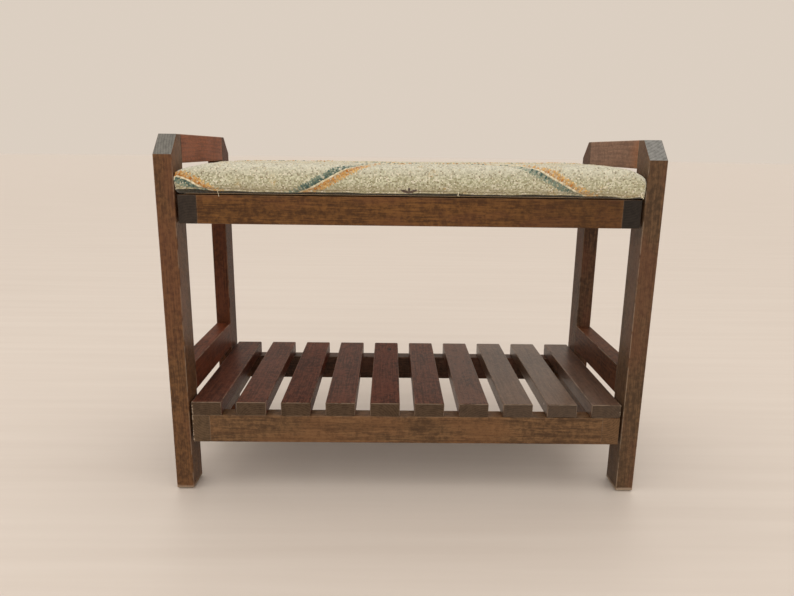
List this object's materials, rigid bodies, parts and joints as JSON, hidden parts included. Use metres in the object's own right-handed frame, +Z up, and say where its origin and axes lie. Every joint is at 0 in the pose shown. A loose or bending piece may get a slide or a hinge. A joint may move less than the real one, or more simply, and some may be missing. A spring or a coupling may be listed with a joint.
{
  "type": "entryway bench",
  "caption": "Small entryway bench: two wooden end frames with clipped tops carry an upholstered seat and, below it, a slatted shelf for shoes.",
  "frame": {"origin": "on the floor, under the middle of the bench", "axes": "+X along the bench to the right as seen from the front, +Y from the front to the back, +Z up"},
  "size_m": [0.66, 0.286, 0.4975],
  "materials": {
    "frame_wood": "dark walnut stain under a satin lacquer",
    "slat_wood": "dark walnut stain under a satin lacquer, worn along the edges",
    "block_wood": "bare pine, unfinished",
    "dowel_wood": "bare beech, fluted",
    "plywood": "bare birch plywood",
    "zinc_steel": "zinc plated",
    "foam": "open-cell polyurethane foam",
    "cover_fabric": "nubby cream weave with teal and orange diagonal bands"
  },
  "bodies": {
    "root": {"left_front_leg": "frame_wood", "left_rear_leg": "frame_wood", "right_front_leg": "frame_wood", "right_rear_leg": "frame_wood", "left_top_rail": "frame_wood", "left_side_stretcher": "frame_wood", "right_top_rail": "frame_wood", "right_side_stretcher": "frame_wood", "seat_front_rail": "frame_wood", "seat_rear_rail": "frame_wood", "seat_left_cross_rail": "frame_wood", "seat_right_cross_rail": "frame_wood", "shelf_front_rail": "frame_wood", "shelf_rear_rail": "frame_wood", "shelf_left_cross_rail": "frame_wood", "shelf_right_cross_rail": "frame_wood", "shelf_slat_01": "slat_wood", "shelf_slat_02": "slat_wood", "shelf_slat_03": "slat_wood", "shelf_slat_04": "slat_wood", "shelf_slat_05": "slat_wood", "shelf_slat_06": "slat_wood", "shelf_slat_07": "slat_wood", "shelf_slat_08": "slat_wood", "shelf_slat_09": "slat_wood", "shelf_slat_10": "slat_wood", "left_front_corner_block": "block_wood", "left_rear_corner_block": "block_wood", "right_front_corner_block": "block_wood", "right_rear_corner_block": "block_wood", "left_end_dowels": "dowel_wood", "right_end_dowels": "dowel_wood", "seat_frame_dowels": "dowel_wood", "shelf_frame_dowels": "dowel_wood", "slat_pins": "dowel_wood", "seat_frame_screws": "zinc_steel", "shelf_frame_screws": "zinc_steel", "seat_frame_spacers": "zinc_steel", "shelf_frame_spacers": "zinc_steel", "seat_board_screws": "zinc_steel", "cover_staples": "zinc_steel", "seat_board": "plywood", "seat_foam": "foam", "seat_cover": "cover_fabric"}
  },
  "joints": []
}
